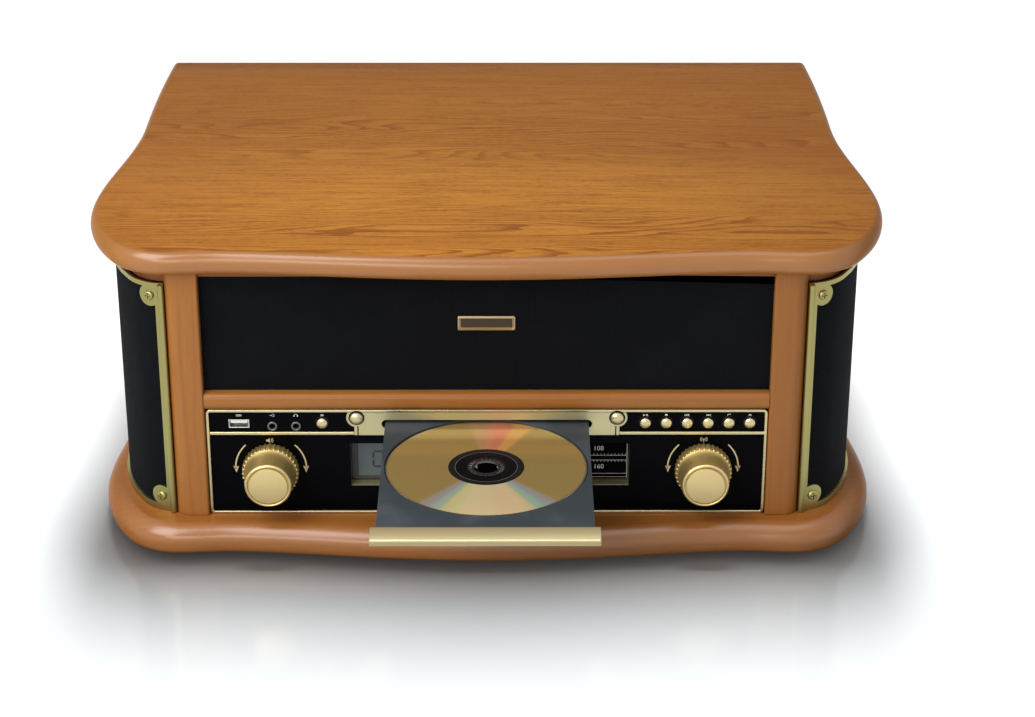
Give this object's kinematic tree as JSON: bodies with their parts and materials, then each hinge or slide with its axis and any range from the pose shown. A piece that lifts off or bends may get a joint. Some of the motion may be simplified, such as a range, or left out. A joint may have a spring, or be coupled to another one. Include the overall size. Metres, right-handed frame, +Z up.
{
  "type": "stereo music centre",
  "caption": "Wooden table-top stereo: lid over a record deck, side speakers behind curved grilles, front panel with radio dial, knobs, buttons and a geared disc tray.",
  "frame": {"origin": "middle of the underside of the feet: middle of the width, and halfway between the front of the open disc tray and the rear of the hinges", "axes": "+X to the right as seen from the front, -Y to the front, +Z up"},
  "size_m": [0.49, 0.4884, 0.205],
  "materials": {
    "oak_lid": "satin lacquered oak veneer",
    "oak_base": "satin lacquered, red-brown",
    "oak_front": "satin lacquered",
    "oak_side": "satin lacquered",
    "red_brown": "satin, stained red-brown",
    "box_board": "raw board",
    "rear_board": "matt",
    "black_cloth": "matt woven",
    "pale_gold": "satin",
    "deep_gold": "satin",
    "black_gloss": "high gloss",
    "black_plastic": "matt",
    "tray_blue": "fine texture",
    "deck_black": "matt",
    "grey_plastic": "matt",
    "white_plastic": "matt",
    "steel": "satin",
    "magnet_grey": "satin",
    "aluminium": "satin",
    "rubber_black": "matt",
    "gold_plastic": "satin gold coat",
    "lcd_glass": "dark display glass",
    "dial_black": "matt dial",
    "pointer_red": "gloss",
    "pcb_green": "green board",
    "disc_gold": "gold mirror",
    "cone_paper": "paper cone"
  },
  "bodies": {
    "cabinet": {"base_plinth": "oak_base", "rubber_feet": "rubber_black", "front_pillars": "oak_front", "middle_rail": "oak_front", "top_frame": "red_brown", "front_grille": "black_cloth", "side_grilles": "black_cloth", "grille_trims": "pale_gold", "trim_screws": "deep_gold", "speaker_boxes": "box_board", "speaker_drivers": "magnet_grey", "speaker_cones": "cone_paper", "side_panels": "oak_side", "rear_panel": "rear_board", "rear_sockets": "black_plastic", "power_transformer": "steel", "panel_fascia": "black_gloss", "fascia_frame": "pale_gold", "disc_slot_plate": "pale_gold", "decorative_studs": "pale_gold", "usb_socket": "steel", "audio_jacks": "black_plastic", "display_surround": "gold_plastic", "lcd_module": "lcd_glass", "dial_scale": "dial_black", "control_board": "pcb_green", "drive_housing": "grey_plastic", "drive_motors": "steel", "disc_clamp": "steel", "deck_plate": "deck_black", "drive_belt": "rubber_black", "deck_motor": "steel", "arm_base": "black_plastic", "cabinet_fittings": "steel"},
    "lid": {"lid_board": "oak_lid", "lid_fittings": "steel"},
    "stay": {"stay_arm": "steel"},
    "tray": {"disc_tray": "tray_blue", "tray_bezel": "pale_gold"},
    "disc": {"compact_disc": "disc_gold"},
    "gear": {"loading_gear": "white_plastic"},
    "pickup": {"optical_pickup": "black_plastic"},
    "record_key": {"record_button": "pale_gold"},
    "play_key": {"play_button": "pale_gold"},
    "stop_key": {"stop_button": "pale_gold"},
    "skip_back_key": {"skip_back_button": "pale_gold"},
    "skip_forward_key": {"skip_forward_button": "pale_gold"},
    "program_key": {"program_button": "pale_gold"},
    "mode_key": {"mode_button": "pale_gold"},
    "volume": {"volume_knob": "deep_gold"},
    "tuning": {"tuning_knob": "deep_gold"},
    "pointer": {"dial_pointer": "pointer_red"},
    "turntable": {"platter": "aluminium", "platter_mat": "rubber_black"},
    "pulley": {"motor_pulley": "deep_gold"},
    "yoke": {"arm_yoke": "steel"},
    "arm": {"tonearm": "aluminium"},
    "cue_handle": {"cue_lever": "steel"},
    "cue_lift": {"cue_bar": "black_plastic"},
    "speed": {"speed_switch": "black_plastic"}
  },
  "joints": [
    {"name": "lid_hinge", "type": "hinge", "parent": "cabinet", "child": "lid", "pos_m": [0, 0.241, 0.19], "axis": [-1, 0, 0], "range_deg": [0, 70]},
    {"name": "stay_pivot", "type": "hinge", "parent": "lid", "child": "stay", "pos_m": [-0.18049, 0.16123, 0.184], "axis": [-1, 0, 0], "range_deg": [-35, 0]},
    {"name": "tray_slide", "type": "slide", "parent": "cabinet", "child": "tray", "axis": [0, 1, 0], "range_m": [0, 0.1348]},
    {"name": "disc_spin", "type": "hinge", "parent": "tray", "child": "disc", "pos_m": [0, -0.1534, 0.0867], "axis": [0, 0, 1], "continuous": true},
    {"name": "loading_gear_spin", "type": "hinge", "parent": "cabinet", "child": "gear", "pos_m": [-0.0735, -0.0654, 0.0852], "axis": [0, 0, 1], "range_deg": [0, 650]},
    {"name": "pickup_slide", "type": "slide", "parent": "cabinet", "child": "pickup", "axis": [0, 1, 0], "range_m": [0, 0.033]},
    {"name": "record_press", "type": "slide", "parent": "cabinet", "child": "record_key", "axis": [0, 1, 0], "range_m": [0, 0.001], "stiffness_N_per_m": 600},
    {"name": "play_press", "type": "slide", "parent": "cabinet", "child": "play_key", "axis": [0, 1, 0], "range_m": [0, 0.001], "stiffness_N_per_m": 600},
    {"name": "stop_press", "type": "slide", "parent": "cabinet", "child": "stop_key", "axis": [0, 1, 0], "range_m": [0, 0.001], "stiffness_N_per_m": 600},
    {"name": "skip_back_press", "type": "slide", "parent": "cabinet", "child": "skip_back_key", "axis": [0, 1, 0], "range_m": [0, 0.001], "stiffness_N_per_m": 600},
    {"name": "skip_forward_press", "type": "slide", "parent": "cabinet", "child": "skip_forward_key", "axis": [0, 1, 0], "range_m": [0, 0.001], "stiffness_N_per_m": 600},
    {"name": "program_press", "type": "slide", "parent": "cabinet", "child": "program_key", "axis": [0, 1, 0], "range_m": [0, 0.001], "stiffness_N_per_m": 600},
    {"name": "mode_press", "type": "slide", "parent": "cabinet", "child": "mode_key", "axis": [0, 1, 0], "range_m": [0, 0.001], "stiffness_N_per_m": 600},
    {"name": "volume_turn", "type": "hinge", "parent": "cabinet", "child": "volume", "pos_m": [-0.13379, -0.0964, 0.0567], "axis": [0, 1, 0], "range_deg": [-150, 150]},
    {"name": "tuning_turn", "type": "hinge", "parent": "cabinet", "child": "tuning", "pos_m": [0.13379, -0.0964, 0.0567], "axis": [0, 1, 0], "range_deg": [-540, 540]},
    {"name": "pointer_slide", "type": "slide", "parent": "cabinet", "child": "pointer", "axis": [1, 0, 0], "range_m": [-0.03, 0.03]},
    {"name": "platter_spin", "type": "hinge", "parent": "cabinet", "child": "turntable", "pos_m": [-0.025, 0.0696, 0.14], "axis": [0, 0, 1], "continuous": true},
    {"name": "pulley_spin", "type": "hinge", "parent": "cabinet", "child": "pulley", "pos_m": [-0.08157, 0.12617, 0.14], "axis": [0, 0, 1], "continuous": true},
    {"name": "tonearm_swing", "type": "hinge", "parent": "cabinet", "child": "yoke", "pos_m": [0.13499, 0.1776, 0.155], "axis": [0, 0, -1], "range_deg": [0, 38]},
    {"name": "tonearm_lift", "type": "hinge", "parent": "yoke", "child": "arm", "pos_m": [0.13499, 0.1776, 0.168], "axis": [-1, 0, 0], "range_deg": [0, 5]},
    {"name": "cue_lever_turn", "type": "hinge", "parent": "cabinet", "child": "cue_handle", "pos_m": [0.14999, 0.1356, 0.149], "axis": [-1, 0, 0], "range_deg": [0, 45]},
    {"name": "cue_bar_lift", "type": "slide", "parent": "cabinet", "child": "cue_lift", "axis": [0, 0, 1], "range_m": [0, 0.004]},
    {"name": "speed_switch_turn", "type": "hinge", "parent": "cabinet", "child": "speed", "pos_m": [0.16599, -0.0364, 0.137], "axis": [0, 0, 1], "range_deg": [-30, 30]}
  ],
  "couplings": [
    {"joint": "stay_pivot", "follows": "lid_hinge", "ratio": -0.5},
    {"joint": "loading_gear_spin", "follows": "tray_slide", "rad_per_m": 83.333},
    {"joint": "pointer_slide", "follows": "tuning_turn", "m_per_rad": 0.0031831},
    {"joint": "pulley_spin", "follows": "platter_spin", "ratio": 11.454},
    {"joint": "cue_lever_turn", "follows": "tonearm_lift", "ratio": 9},
    {"joint": "cue_bar_lift", "follows": "tonearm_lift", "m_per_rad": 0.045}
  ]
}
